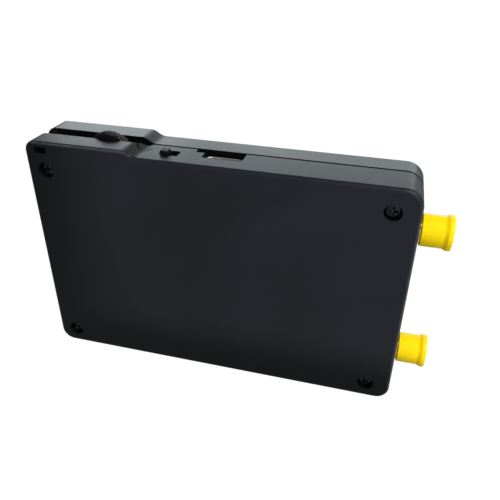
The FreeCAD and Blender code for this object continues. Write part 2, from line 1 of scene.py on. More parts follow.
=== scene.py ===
# %% [markdown]
# # A handheld antenna analyzer, seen from behind
#
# The object is a small radio instrument in a black two-shell case. It stands on its long lower
# edge, with two coaxial ports under yellow dust caps at its right end, and a thumb wheel, a power
# switch and a USB-C socket in its top edge. The solid pieces come ready made, at their real size.
# This lesson gives each of them its finish, and swaps the small pieces whose charm is in their
# detail (threads, knurls, screw drives) for surfaces worked out with numpy.
# %% Load the solid model
import json
import math

import bmesh
import bpy
from mathutils import Euler, Matrix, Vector
import numpy as np


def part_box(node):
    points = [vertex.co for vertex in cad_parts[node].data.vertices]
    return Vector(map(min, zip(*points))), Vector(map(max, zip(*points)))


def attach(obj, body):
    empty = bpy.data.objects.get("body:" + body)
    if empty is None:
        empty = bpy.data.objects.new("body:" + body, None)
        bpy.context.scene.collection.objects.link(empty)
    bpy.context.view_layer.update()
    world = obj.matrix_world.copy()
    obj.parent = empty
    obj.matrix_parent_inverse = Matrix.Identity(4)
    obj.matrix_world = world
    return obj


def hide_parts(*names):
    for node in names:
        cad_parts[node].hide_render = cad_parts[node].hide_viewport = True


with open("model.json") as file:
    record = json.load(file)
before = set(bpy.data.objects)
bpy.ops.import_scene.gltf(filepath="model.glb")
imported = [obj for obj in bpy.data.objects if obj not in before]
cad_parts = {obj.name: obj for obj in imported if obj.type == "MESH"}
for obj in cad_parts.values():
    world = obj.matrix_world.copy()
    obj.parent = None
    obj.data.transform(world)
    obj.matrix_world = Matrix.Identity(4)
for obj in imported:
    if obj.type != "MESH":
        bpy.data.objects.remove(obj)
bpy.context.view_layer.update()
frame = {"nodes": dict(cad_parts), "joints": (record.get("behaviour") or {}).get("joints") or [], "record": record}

MM = 0.001

# %% [markdown]
# ## The camera first
#
# A likeness stands or falls with the camera. The photograph's straight case edges run towards
# their vanishing points, and from those lines the camera's place, tilt and focal length were
# worked out, then refined until the outlines agreed. One picture holds the focal length only
# loosely, and separate fits gave 37 to 39 mm. The numbers are millimetres for the place, degrees
# for the tilt, and millimetres on a 36 mm wide sensor for the lens. The camera stands close,
# which gives the strong taper of the case towards its right end.
# %% Place the camera
CAMERA_PLACE = (35.35, -111.02, 102.10)
CAMERA_TURN = (58.82, -0.67, 14.66)
CAMERA_LENS = 39.22

camera_data = bpy.data.cameras.new("camera")
camera_data.lens = CAMERA_LENS
camera_data.sensor_width = 36
camera_data.clip_start = 0.01
camera = bpy.data.objects.new("camera", camera_data)
camera.location = [c * MM for c in CAMERA_PLACE]
camera.rotation_euler = [math.radians(a) for a in CAMERA_TURN]
bpy.context.scene.collection.objects.link(camera)
bpy.context.scene.camera = camera
bpy.context.scene.view_settings.view_transform = "Standard"
print("camera is", round(camera.location.length, 3), "m from the standing edge")

# %% [markdown]
# ## Where things are
#
# Where a piece sits is read from the solid pieces, so that nothing drifts out of place. A helper
# turns a node's box into its middle and its size, in millimetres, because the real object is
# thought of in millimetres too. The named distances further down are also in millimetres, except
# on the stage, where the floor and the lamps are in metres.
# %% Measure the solid pieces


def measure(node):
    """The middle and the size of a solid piece, in millimetres."""
    low, high = (np.array(corner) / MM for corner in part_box(node))
    return (low + high) / 2, high - low


case_low, case_high = (np.array(corner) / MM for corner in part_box("back_cover"))
screen_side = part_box("front_cover")[1][1] / MM
rock_joint = next(joint for joint in frame["joints"] if joint["name"] == "jog_rock")
jog_pivot = np.array(rock_joint["pos_m"]) / MM
print("case", np.round(case_high - case_low, 2), "screen side at", round(screen_side, 2))

# %% [markdown]
# ## Surfaces from numbers
#
# Each new piece is a grid of points worked out as one array. Neighbouring points make four-sided
# faces. A grid can be wrapped round in one direction, as a tube is, or in both, as a ring is.
# Points that fall together, such as those of a pole, are merged, and the faces are then turned
# outwards. Extrusions and booleans would also work for these shapes, but a formula keeps a thread
# or a knurl exact and easy to change.
# %% Helpers for grids of points


def full_turn(count):
    """Evenly spaced angles round a full circle."""
    return np.linspace(0, 2 * math.pi, count, endpoint=False)


def rings_about_x(x, r, angle, centre):
    """Rings round a line along X through the centre: x and r are numbers or arrays, row by row."""
    return np.stack([
        x + 0 * angle,
        centre[1] + r * np.cos(angle),
        centre[2] + r * np.sin(angle),
    ], axis=-1)


def patch(grid, wrap_rows=False, wrap_columns=True):
    """The vertices and four-sided faces of a grid of points, rows by columns by 3."""
    rows, columns = grid.shape[:2]
    row = np.arange(rows if wrap_rows else rows - 1)
    column = np.arange(columns if wrap_columns else columns - 1)
    row, column = np.meshgrid(row, column, indexing="ij")
    next_row, next_column = (row + 1) % rows, (column + 1) % columns
    corners = [(row, column), (row, next_column), (next_row, next_column), (next_row, column)]
    faces = np.stack([r * columns + c for r, c in corners], axis=-1).reshape(-1, 4)
    return grid.reshape(-1, 3), faces


def make_piece(name, patches, material, body, replaced=(), sharp=32):
    """One object from several patches in millimetres, merged, turned outwards and smoothed."""
    points, faces, count = [], [], 0
    for vertices, quads in patches:
        points.append(vertices * MM)
        faces.append(quads + count)
        count += len(vertices)
    mesh = bpy.data.meshes.new(name)
    mesh.from_pydata(np.concatenate(points).tolist(), [], np.concatenate(faces).tolist())
    work = bmesh.new()
    work.from_mesh(mesh)
    bmesh.ops.remove_doubles(work, verts=work.verts, dist=1e-6)
    bmesh.ops.dissolve_degenerate(work, edges=work.edges, dist=1e-7)
    bmesh.ops.recalc_face_normals(work, faces=work.faces)
    work.to_mesh(mesh)
    work.free()
    mesh.polygons.foreach_set("use_smooth", np.ones(len(mesh.polygons), dtype=bool))
    mesh.set_sharp_from_angle(angle=math.radians(sharp))
    mesh.materials.append(material)
    piece = bpy.data.objects.new(name, mesh)
    bpy.context.scene.collection.objects.link(piece)
    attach(piece, body)
    if replaced:
        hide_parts(*replaced)
    print(name, "has", len(mesh.polygons), "faces")
    return piece


ARC_STEPS = 5


def round_profile(points, radii):
    """An open line of 2-D points, with each inner corner swapped for an arc of its radius.

    The arc starts and ends where the circle touches the two lines, at radius / tan(half angle)
    from the corner, and its points are spaced evenly along a quadratic curve between them.
    """
    points = np.array(points, dtype=float)
    result = [points[:1]]
    for before, corner, after, radius in zip(points, points[1:], points[2:], radii):
        to_before, to_after = before - corner, after - corner
        reach_before, reach_after = np.linalg.norm(to_before), np.linalg.norm(to_after)
        cosine = np.dot(to_before, to_after) / (reach_before * reach_after)
        half = math.acos(np.clip(cosine, -1, 1)) / 2
        pull = min(radius / math.tan(half), 0.49 * reach_before, 0.49 * reach_after)
        first = corner + to_before / reach_before * pull
        last = corner + to_after / reach_after * pull
        t = np.linspace(0, 1, ARC_STEPS + 1)[:, None]
        weight = math.sin(half)
        share = (1 - t) ** 2 + 2 * weight * t * (1 - t) + t ** 2
        result.append(((1 - t) ** 2 * first + 2 * weight * t * (1 - t) * corner + t ** 2 * last) / share)
    result.append(points[-1:])
    return np.concatenate(result)


def turn(profile, centre, columns=96):
    """A surface of revolution about X: each (x, r) of the profile carried round a full circle."""
    return rings_about_x(profile[:, :1], profile[:, 1:], full_turn(columns), centre)


# %% [markdown]
# ## Effects that several finishes share
#
# Moulded plastic is never one flat colour. Its skin has a fine grain from the mould, and hands
# leave patches that are a little glossier. Metal has fine lines from rolling or turning. Each such
# effect is a node group: it takes a position and a few numbers, and gives back masks and heights.
# The shader itself stays in the material, where its plain numbers are set straight on its sockets.
# %% Node groups


def set_input(tree, socket, value):
    """Link a socket to the value when that is a socket too, or else write the value into it."""
    if isinstance(value, bpy.types.NodeSocket):
        tree.links.new(value, socket)
    else:
        socket.default_value = value


def add(tree, kind, inputs=(), **settings):
    """A node with its settings, and with values or links on its inputs."""
    node = tree.nodes.new(kind)
    for key, value in settings.items():
        setattr(node, key, value)
    for key, value in dict(inputs).items():
        set_input(tree, node.inputs[key], value)
    return node


def calculate(tree, operation, first, second, **settings):
    """The result of one step of arithmetic on two numbers or sockets."""
    return add(tree, "ShaderNodeMath", {0: first, 1: second}, operation=operation, **settings).outputs[0]


def calculate_vector(tree, operation, first, second=(0, 0, 0)):
    """The same for two vectors. Steps on a single vector leave the second one unused."""
    node = add(tree, "ShaderNodeVectorMath", {0: first, 1: second}, operation=operation)
    return node.outputs["Value" if operation == "LENGTH" else "Vector"]


def ramp(tree, value, start, end, low=0.0, high=1.0, kind="LINEAR"):
    """A number that goes from low to high while the value goes from start to end."""
    limits = {"Value": value, "From Min": start, "From Max": end, "To Min": low, "To Max": high}
    return add(tree, "ShaderNodeMapRange", limits, interpolation_type=kind).outputs["Result"]


def noise(tree, vector, scale, detail, distortion=0.0):
    """The value of a cloudy noise at each point."""
    inputs = {"Vector": vector, "Scale": scale, "Detail": detail, "Distortion": distortion}
    return add(tree, "ShaderNodeTexNoise", inputs).outputs["Fac"]


def split(tree, vector):
    """The three coordinates of a vector."""
    parts = add(tree, "ShaderNodeSeparateXYZ", {0: vector})
    return [parts.outputs[axis] for axis in "XYZ"]


def new_group(name, inputs, outputs):
    """An empty shader node group with named number and vector sockets."""
    group = bpy.data.node_groups.new(name, "ShaderNodeTree")
    for title, kind, value in inputs:
        socket = group.interface.new_socket(title, in_out="INPUT", socket_type=kind)
        if value is not None:
            socket.default_value = value
    for title, kind in outputs:
        group.interface.new_socket(title, in_out="OUTPUT", socket_type=kind)
    return group, group.nodes.new("NodeGroupInput"), group.nodes.new("NodeGroupOutput")


def build_moulded_skin():
    """Fine mould grain as a height, and broad patches where hands have been as a mask."""
    group, given, result = new_group(
        "moulded_skin",
        [("Vector", "NodeSocketVector", None), ("Grain scale", "NodeSocketFloat", 5000.0),
         ("Patch scale", "NodeSocketFloat", 45.0)],
        [("Height", "NodeSocketFloat"), ("Patches", "NodeSocketFloat"), ("Specks", "NodeSocketFloat")])
    vector = given.outputs["Vector"]
    grain = noise(group, vector, given.outputs["Grain scale"], 2.0)
    patches = noise(group, vector, given.outputs["Patch scale"], 3.0, 0.6)
    dust = add(group, "ShaderNodeTexVoronoi", {"Vector": vector, "Scale": 260.0})
    group.links.new(grain, result.inputs["Height"])
    group.links.new(ramp(group, patches, 0.35, 0.68), result.inputs["Patches"])
    group.links.new(ramp(group, dust.outputs["Distance"], 0.10, 0.02), result.inputs["Specks"])
    return group


def build_worked_metal():
    """Fine lines along one axis as a height, and slow stains as a mask."""
    group, given, result = new_group(
        "worked_metal",
        [("Vector", "NodeSocketVector", None), ("Line scale", "NodeSocketFloat", 2500.0)],
        [("Lines", "NodeSocketFloat"), ("Stains", "NodeSocketFloat")])
    vector = given.outputs["Vector"]
    squeezed = calculate_vector(group, "MULTIPLY", vector, (0.05, 1.0, 1.0))
    lines = noise(group, squeezed, given.outputs["Line scale"], 2.0)
    stains = noise(group, vector, 300.0, 4.0)
    group.links.new(lines, result.inputs["Lines"])
    group.links.new(stains, result.inputs["Stains"])
    return group


def build_edge_highlight_and_wear():
    """A mask that is 1 along the long edges of a box and 0 on its faces, for painted edge highlights with wear.

    Each coordinate's distance from the middle of the box, over half the box's size, is near 1 at
    a face. Where the second largest of the three is also near 1, two faces meet.
    """
    group, given, result = new_group(
        "edge_highlight_and_wear",
        [("Vector", "NodeSocketVector", None), ("Middle", "NodeSocketVector", None),
         ("Half size", "NodeSocketVector", None), ("Width", "NodeSocketFloat", 0.0008)],
        [("Mask", "NodeSocketFloat")])
    vector = given.outputs["Vector"]
    offset = calculate_vector(group, "SUBTRACT", vector, given.outputs["Middle"])
    away = calculate_vector(group, "ABSOLUTE", offset)
    x, y, z = split(group, calculate_vector(group, "SUBTRACT", given.outputs["Half size"], away))
    high_xy = calculate(group, "MAXIMUM", x, y)
    low_xy = calculate(group, "MINIMUM", x, y)
    second = calculate(group, "MINIMUM", high_xy, calculate(group, "MAXIMUM", low_xy, z))
    near = ramp(group, second, given.outputs["Width"], 0.0, kind="SMOOTHSTEP")
    broken = calculate(group, "MULTIPLY", near, noise(group, vector, 400.0, 3.0))
    group.links.new(broken, result.inputs["Mask"])
    return group


moulded_skin = build_moulded_skin()
worked_metal = build_worked_metal()
edge_highlight_and_wear = build_edge_highlight_and_wear()
print("node groups:", [g.name for g in bpy.data.node_groups])

# %% [markdown]
# ## Plastics and rubbers
#
# One function makes every moulded finish. Its colour shifts a little towards a second tone in the
# handled patches, its roughness changes with the same patches, and the grain goes into a bump. The
# numbers are what differ: a case is satin, a dust cap is soft and a little glossy, foam is dull.
# %% The moulded finish


def new_material(name):
    """An empty material with one shader, and the position of each point on the object."""
    material = bpy.data.materials.new(name)
    material.use_nodes = True
    tree = material.node_tree
    tree.nodes.clear()
    output = tree.nodes.new("ShaderNodeOutputMaterial")
    shader = tree.nodes.new("ShaderNodeBsdfPrincipled")
    tree.links.new(shader.outputs["BSDF"], output.inputs["Surface"])
    position = tree.nodes.new("ShaderNodeTexCoord").outputs["Object"]
    return material, tree, shader, position


def use_group(tree, group, inputs):
    """A node that runs a group, with values or links on its inputs."""
    node = tree.nodes.new("ShaderNodeGroup")
    node.node_tree = group
    for key, value in inputs.items():
        set_input(tree, node.inputs[key], value)
    return node


def blend_colour(tree, mask, first, second):
    """A colour that goes from first to second as the mask goes from 0 to 1."""
    node = tree.nodes.new("ShaderNodeMix")
    node.data_type = "RGBA"
    tree.links.new(mask, node.inputs["Factor"])
    for socket, value in ((node.inputs[6], first), (node.inputs[7], second)):
        if isinstance(value, bpy.types.NodeSocket):
            tree.links.new(value, socket)
        else:
            socket.default_value = (*value, 1.0)
    return node.outputs[2]


def set_surface(tree, shader, tone, mask, roughness):
    """The base colour, and a roughness between two values that the mask picks."""
    tree.links.new(tone, shader.inputs["Base Color"])
    tree.links.new(ramp(tree, mask, 0.0, 1.0, *roughness), shader.inputs["Roughness"])


def set_bump(tree, shader, height, strength, distance, **others):
    """A fine relief in the direction that the surface faces."""
    inputs = {"Height": height, "Strength": strength, "Distance": distance, **others}
    bump = add(tree, "ShaderNodeBump", inputs)
    tree.links.new(bump.outputs["Normal"], shader.inputs["Normal"])


def moulded(name, colour, second_tone, roughness, grain_scale=5000.0, grain_depth=0.00002, **plain):
    """A plastic or rubber: two close tones, two roughness values and a fine grain."""
    material, tree, shader, position = new_material(name)
    skin = use_group(tree, moulded_skin, {"Vector": position, "Grain scale": grain_scale})
    tone = blend_colour(tree, skin.outputs["Patches"], colour, second_tone)
    set_surface(tree, shader, tone, skin.outputs["Patches"], roughness)
    set_bump(tree, shader, skin.outputs["Height"], 0.5, grain_depth)
    for socket, value in plain.items():
        shader.inputs[socket.replace("_", " ")].default_value = value
    return material


dark_plastic = moulded("dark_plastic", (0.012, 0.012, 0.013), (0.02, 0.02, 0.021), (0.5, 0.62))
white_plastic = moulded("white_plastic", (0.78, 0.76, 0.70), (0.70, 0.68, 0.61), (0.35, 0.5))
foam = moulded("foam", (0.02, 0.02, 0.02), (0.035, 0.035, 0.036), (0.9, 1.0), 2500.0, 0.0002)
lead_red = moulded("lead_red", (0.45, 0.015, 0.01), (0.38, 0.012, 0.01), (0.35, 0.5))
lead_black = moulded("lead_black", (0.012, 0.012, 0.012), (0.02, 0.02, 0.02), (0.35, 0.5))
chip_resin = moulded("chip_resin", (0.018, 0.018, 0.019), (0.028, 0.028, 0.029), (0.55, 0.7), 9000.0)
ceramic_parts = moulded("ceramic_parts", (0.32, 0.24, 0.15), (0.24, 0.19, 0.13), (0.4, 0.6))
print("moulded finishes are ready")

# %% [markdown]
# ## The black case
#
# The case is most of the object: satin black plastic with a fine, even mould texture. Light from
# behind slides off its top side as a soft grey, while its big back face stays nearly black, so the
# finish must be dark in itself and let the reflection do the work. The middle of the face has a
# painted reflection: it is painted a little lighter and bluer than its left and lower borders. The
# edges are painted a shade lighter, a painted highlight with some rub wear, and faint dust sits on
# the top side. Both covers get a hint of draft. The wheel and the switch knob are of the same
# plastic, only duller: the wheel's rim has bright painted glints on its right side, and the knob's
# ridges are painted lighter as a painted highlight.
# %% Finish of the case
DRAFT = 0.017
CASE_GRAIN = 3800.0
CASE_BLACK = (0.0024, 0.0030, 0.0034)
# Painted reflection: the middle of the back face is painted lighter and bluer than its borders.
PAINTED_SHEEN_TONE = (0.0150, 0.0172, 0.0225)
# Painted highlight along the case edges, with some rub wear.
EDGE_HIGHLIGHT_AND_WEAR_TONE = (0.115, 0.120, 0.128)
DUST_TONE = (0.22, 0.21, 0.19)
DUST_SHARE = 0.18
PAINTED_SHEEN_FROM_X = (-46.0, -20.0)
PAINTED_SHEEN_FROM_Z = (3.0, 17.0)
PAINTED_SHEEN_DEPTH = (0.9, 0.3)  # from the back face, inwards
EDGE_WIDTH = 0.7

WHEEL_BLACK = (0.0030, 0.0035, 0.0048)
# Painted glints on the right side of the wheel's rim, and a painted highlight on the knob's ridges.
PAINTED_HIGHLIGHT_TONE = (0.14, 0.145, 0.15)
WHEEL_GLINTS_FROM = 5.45
WHEEL_OUTSIDE = 7.0
LIT_SIDE = (-1.0, 4.0)
KNOB_HIGHLIGHT_FROM = 57.7


def drafted_normal(tree, position):
    """The surface's own normal, tilted a little away from the parting plane on both sides of it.

    Moulded covers taper by a degree or two so that they leave the mould. The taper is too small to see
    as a shape, but in a satin skin it makes the two covers reflect different parts of the room.
    """
    blend = 0.01
    depth = split(tree, position)[1]
    side = ramp(tree, depth, (case_high[1] - blend) * MM, (case_high[1] + blend) * MM, -DRAFT, DRAFT)
    tilt = add(tree, "ShaderNodeCombineXYZ", {"Y": side}).outputs["Vector"]
    normal = tree.nodes.new("ShaderNodeNewGeometry").outputs["Normal"]
    return calculate_vector(tree, "NORMALIZE", calculate_vector(tree, "ADD", normal, tilt))


def painted_sheen_mask(tree, position, patches):
    """A painted reflection: 1 in the middle of the back face, and 0 at its left and lower borders."""
    x, y, z = split(tree, position)
    from_end = ramp(tree, x, *(limit * MM for limit in PAINTED_SHEEN_FROM_X), kind="SMOOTHSTEP")
    from_edge = ramp(tree, z, *(limit * MM for limit in PAINTED_SHEEN_FROM_Z), kind="SMOOTHSTEP")
    at_back = ramp(tree, y, *((case_low[1] + limit) * MM for limit in PAINTED_SHEEN_DEPTH))
    middle = calculate(tree, "MULTIPLY", from_end, from_edge)
    patchy = calculate(tree, "MULTIPLY", middle, ramp(tree, patches, 0.0, 1.0, 0.7, 1.0))
    return calculate(tree, "MULTIPLY", patchy, at_back)


def make_case_plastic():
    """Satin black, a painted reflection mid-face, painted edge highlights with wear, and dust on what faces up."""
    material, tree, shader, position = new_material("case_plastic")
    skin = use_group(tree, moulded_skin, {
        "Vector": position, "Grain scale": CASE_GRAIN, "Patch scale": 28.0})
    patches = skin.outputs["Patches"]
    whole_high = np.array([case_high[0], screen_side, case_high[2]])
    edges = use_group(tree, edge_highlight_and_wear, {
        "Vector": position, "Middle": tuple((case_low + whole_high) / 2 * MM),
        "Half size": tuple((whole_high - case_low) / 2 * MM), "Width": EDGE_WIDTH * MM})
    # Painted reflection: the back face's middle is painted lighter and bluer than its left and lower borders.
    tone = blend_colour(tree, painted_sheen_mask(tree, position, patches), CASE_BLACK, PAINTED_SHEEN_TONE)
    # The edges are painted a shade lighter: a painted highlight, with some rub wear.
    with_edge_highlight = blend_colour(tree, edges.outputs["Mask"], tone, EDGE_HIGHLIGHT_AND_WEAR_TONE)
    facing_up = split(tree, tree.nodes.new("ShaderNodeNewGeometry").outputs["Normal"])[2]
    settled = calculate(tree, "MULTIPLY", facing_up, skin.outputs["Specks"])
    faint = calculate(tree, "MULTIPLY", settled, DUST_SHARE, use_clamp=True)
    set_surface(tree, shader, blend_colour(tree, faint, with_edge_highlight, DUST_TONE), patches, (0.40, 0.33))
    set_bump(tree, shader, skin.outputs["Height"], 0.45, 0.00003, Normal=drafted_normal(tree, position))
    shader.inputs["Specular IOR Level"].default_value = 0.15
    return material


def make_wheel_plastic():
    """Black like the case, with painted glints on the wheel's rim and a painted highlight on the knob's ridges."""
    material, tree, shader, position = new_material("wheel_plastic")
    skin = use_group(tree, moulded_skin, {"Vector": position, "Grain scale": CASE_GRAIN})
    offset = calculate_vector(tree, "SUBTRACT", position, tuple(jog_pivot * MM))
    reach = calculate_vector(tree, "LENGTH", calculate_vector(tree, "MULTIPLY", offset, (1, 0, 1)))
    # Painted glints: light specks are painted on the right side of the wheel's rim.
    outer = ramp(tree, reach, WHEEL_GLINTS_FROM * MM, (WHEEL_GLINTS_FROM + 0.15) * MM)
    on_wheel = calculate(tree, "LESS_THAN", reach, WHEEL_OUTSIDE * MM)
    rim = calculate(tree, "MULTIPLY", outer, on_wheel)
    facing_light = ramp(tree, split(tree, offset)[0], *(limit * MM for limit in LIT_SIDE))
    glint_noise = ramp(tree, noise(tree, position, 3200.0, 1.0), 0.50, 0.62)
    painted_glint = calculate(tree, "MULTIPLY", calculate(tree, "MULTIPLY", glint_noise, facing_light), rim)
    # Painted highlight: the knob's ridges above a height are painted lighter.
    height = split(tree, position)[2]
    raised = ramp(tree, height, KNOB_HIGHLIGHT_FROM * MM, (KNOB_HIGHLIGHT_FROM + 0.35) * MM)
    knob_highlight = calculate(tree, "MULTIPLY", raised, calculate(tree, "SUBTRACT", 1.0, on_wheel))
    tone = blend_colour(tree, calculate(tree, "ADD", painted_glint, knob_highlight), WHEEL_BLACK, PAINTED_HIGHLIGHT_TONE)
    set_surface(tree, shader, tone, rim, (0.5, 0.42))
    set_bump(tree, shader, skin.outputs["Height"], 0.5, 0.00003)
    shader.inputs["Specular IOR Level"].default_value = 0.07
    return material


case_plastic = make_case_plastic()
wheel_plastic = make_wheel_plastic()
print("case and wheel finishes are ready")

# %% [markdown]
# ## Metals
#
# Rolled sheet steel, gold plated brass and blackened screws share one metal: a colour that stains
# slightly, and fine lines that break up the reflection.
# %% The metal finish


def metal(name, colour, stained, roughness, line_scale=2500.0, depth=0.00001):
    """A metal with fine lines along X and slow stains."""
    material, tree, shader, position = new_material(name)
    work = use_group(tree, worked_metal, {"Vector": position, "Line scale": line_scale})
    tone = blend_colour(tree, work.outputs["Stains"], colour, stained)
    set_surface(tree, shader, tone, work.outputs["Lines"], roughness)
    set_bump(tree, shader, work.outputs["Lines"], 0.4, depth)
    shader.inputs["Metallic"].default_value = 1.0
    return material


sheet_steel = metal("sheet_steel", (0.66, 0.66, 0.67), (0.52, 0.52, 0.53), (0.35, 0.5))
gold_brass = metal("gold_brass", (0.86, 0.60, 0.26), (0.70, 0.46, 0.18), (0.16, 0.32))
screw_steel = metal("screw_steel", (0.050, 0.052, 0.062), (0.025, 0.027, 0.032), (0.2, 0.32))
battery_foil = metal("battery_foil", (0.62, 0.63, 0.66), (0.55, 0.56, 0.6), (0.3, 0.5), 900.0, 0.00004)
print("metal finishes are ready")

# %% [markdown]
# ## The yellow caps' plastic
#
# Soft polyethylene is bright and a little waxy: light enters it and comes out again nearby, which
# rounds the shading. A small subsurface weight does that, with fine flow marks in the gloss.
# %% Finish of the dust caps
cap_plastic = moulded(
    "cap_plastic", (0.97, 0.69, 0.002), (0.95, 0.65, 0.002), (0.40, 0.5), 1800.0, 0.00003,
    Subsurface_Weight=0.15, Subsurface_Scale=0.0012, Specular_IOR_Level=0.1)
print("cap finish is ready")

# %% [markdown]
# ## Board, ribbon and glass
#
# The board is covered by black lacquer, and its buried tracks show as faint ridges that run along
# both axes. The ribbon is amber film with copper lines. The screen is off: a dark pane with a
# slightly lighter active area inside a black border, under the clear touch panel.
# %% Finishes of the inner pieces


def make_board():
    """Near-black lacquer over a brick pattern that stands in for the buried tracks."""
    material, tree, shader, position = new_material("board")
    upright = add(tree, "ShaderNodeMapping", {"Vector": position, "Rotation": (math.radians(90), 0, 0)})
    tracks = add(tree, "ShaderNodeTexBrick", {
        "Vector": upright.outputs["Vector"], "Scale": 420.0, "Color1": (0, 0, 0, 1),
        "Color2": (0.2, 0.2, 0.2, 1), "Mortar": (1, 1, 1, 1), "Mortar Size": 0.03})
    skin = use_group(tree, moulded_skin, {"Vector": position, "Grain scale": 1500.0})
    tone = blend_colour(tree, tracks.outputs["Fac"], (0.006, 0.010, 0.009), (0.016, 0.026, 0.022))
    set_surface(tree, shader, tone, skin.outputs["Patches"], (0.22, 0.35))
    set_bump(tree, shader, tracks.outputs["Fac"], 0.4, 0.00003)
    return material


def striped(name, tone_of, scale, direction, roughness):
    """A film or pane with fine lines: tone_of turns the lines' mask into a colour."""
    material, tree, shader, position = new_material(name)
    lines = add(tree, "ShaderNodeTexWave", {"Vector": position, "Scale": scale}, bands_direction=direction)
    mask = lines.outputs["Fac"]
    set_surface(tree, shader, tone_of(tree, position, mask), mask, roughness)
    return material


def ribbon_tone(tree, position, lines):
    """Amber film with copper lines, the same all over."""
    return blend_colour(tree, lines, (0.52, 0.22, 0.03), (0.36, 0.13, 0.03))


def panel_tone(tree, position, lines):
    """Dark lines in the active area, and a black border that is measured from the glass's own box."""
    border = 4.5
    middle, size = measure("display_glass")
    offset = calculate_vector(tree, "SUBTRACT", position, tuple(middle * MM))
    x, _, z = split(tree, calculate_vector(tree, "ABSOLUTE", offset))
    past_x = calculate(tree, "GREATER_THAN", x, (size[0] / 2 - border) * MM)
    past_z = calculate(tree, "GREATER_THAN", z, (size[2] / 2 - border) * MM)
    active = blend_colour(tree, lines, (0.021, 0.023, 0.028), (0.024, 0.026, 0.031))
    return blend_colour(tree, calculate(tree, "MAXIMUM", past_x, past_z), active, (0.004, 0.004, 0.005))


def make_touch_glass():
    """Clear, with faint smears where fingers have been."""
    material, tree, shader, position = new_material("touch_glass")
    skin = use_group(tree, moulded_skin, {"Vector": position, "Grain scale": 900.0, "Patch scale": 60.0})
    tone = blend_colour(tree, skin.outputs["Patches"], (0.92, 0.95, 0.96), (0.86, 0.90, 0.92))
    set_surface(tree, shader, tone, skin.outputs["Patches"], (0.03, 0.10))
    shader.inputs["Transmission Weight"].default_value = 1.0
    shader.inputs["IOR"].default_value = 1.5
    return material


board_lacquer = make_board()
ribbon_film = striped("ribbon_film", ribbon_tone, 320.0, "Z", (0.25, 0.35))
panel_glass = striped("panel_glass", panel_tone, 1400.0, "X", (0.30, 0.32))
touch_glass = make_touch_glass()
print("board, ribbon and glass are ready")

# %% [markdown]
# ## Each solid piece gets its finish
#
# The record says which material slot each piece belongs to. A table from slot to material is all
# that is needed, because one finish serves every piece of that slot.
# %% Give the finishes to the solid pieces
finishes = {
    "case_plastic": case_plastic, "screw_steel": screw_steel, "board": board_lacquer,
    "battery_foil": battery_foil, "foam": foam, "lead_red": lead_red, "lead_black": lead_black,
    "white_plastic": white_plastic, "dark_plastic": dark_plastic, "wheel_plastic": wheel_plastic,
    "sheet_steel": sheet_steel, "gold_brass": gold_brass, "cap_plastic": cap_plastic,
    "panel_glass": panel_glass, "touch_glass": touch_glass, "ribbon_film": ribbon_film,
    "chip_resin": chip_resin, "ceramic_parts": ceramic_parts,
}
for subpart in frame["record"]["subparts"]:
    solid = frame["nodes"][subpart["node"]]
    solid.data.materials.clear()
    solid.data.materials.append(finishes[subpart["material_slot"]])

# %% [markdown]
# ## Dust caps
#
# Each cap is moulded in soft plastic and pushed over the port's thread. Its profile is a short tube
# with a wider lip at the closed end, where fingers pull. It is turned about the port's axis, with
# every corner rounded, because soft plastic has no sharp ones. The closed end is a little sunk and
# has the small mark where the plastic was fed in.
# %% Model the caps
CAP_OUTER = 3.68
CAP_WALL = 0.45
CAP_FLOOR = 0.6
LIP_RISE = (1.8, 1.0)       # from the closed end, where the wall widens into the lip
END_SUNK = 0.22
GATE_RADIUS = 0.5


def dust_cap_profile(start, end, rim):
    """The cap's half section as (x, r): inside of the bore, mouth, wall, lip, end face, gate mark."""
    bore, floor, sunk = CAP_OUTER - CAP_WALL, end - CAP_FLOOR, end - END_SUNK
    line = [
        (floor, 0), (floor, bore), (start, bore), (start, CAP_OUTER), (end - LIP_RISE[0], CAP_OUTER),
        (end - LIP_RISE[1], rim), (end, rim), (end, rim - 0.7), (sunk, rim - 1.1),
        (sunk, GATE_RADIUS + 0.05), (end - 0.02, GATE_RADIUS - 0.05), (end - 0.02, 0),
    ]
    radii = [0.2, 0.12, 0.2, 1.2, 0.6, 0.4, 0.2, 0.2, 0.1, 0.08]
    return round_profile(line, radii)


for place in ("lower", "upper"):
    middle, size = measure("dust_cap_" + place)
    profile = dust_cap_profile(middle[0] - size[0] / 2, middle[0] + size[0] / 2, rim=size[1] / 2)
    make_piece("cap_" + place, [patch(turn(profile, middle))], cap_plastic, place + "_cap",
               ["dust_cap_" + place])

# %% [markdown]
# ## Coaxial ports
#
# The port is a gold plated brass barrel with a quarter-inch thread of 36 turns to the inch. A helix
# is a surface of revolution whose radius also depends on the angle: at each point the phase is the
# distance along the axis over the pitch, minus the angle over a full turn, and the radius falls by
# a triangle wave of that phase. The thread fades in and out at its ends, as a cut thread does.
# %% Model the ports
THREAD_PITCH = 0.706
THREAD_DEPTH = 0.3
THREAD_STARTS = (2.6, 3.4)  # from the root, where the thread fades in
THREAD_ENDS = (1.0, 0.5)    # from the tip, where it fades out
PORT_RADIUS = 3.15
PORT_BORE = 2.3
PORT_CHAMFER = 0.25
PORT_COLUMNS = 72
CASE_WALL = 1.8
FLANGE_DEPTH = 1.9


def fade(value, start, end):
    """0 before start, 1 after end, and smooth in between."""
    t = np.clip((value - start) / (end - start), 0, 1)
    return t * t * (3 - 2 * t)


def thread_wave(along, pitch, angle):
    """A triangle wave that goes from 1 to 0 and back once a turn, along a helix of that pitch."""
    phase = (along / pitch - angle / (2 * math.pi)) % 1
    return 2 * np.abs(phase - 0.5)


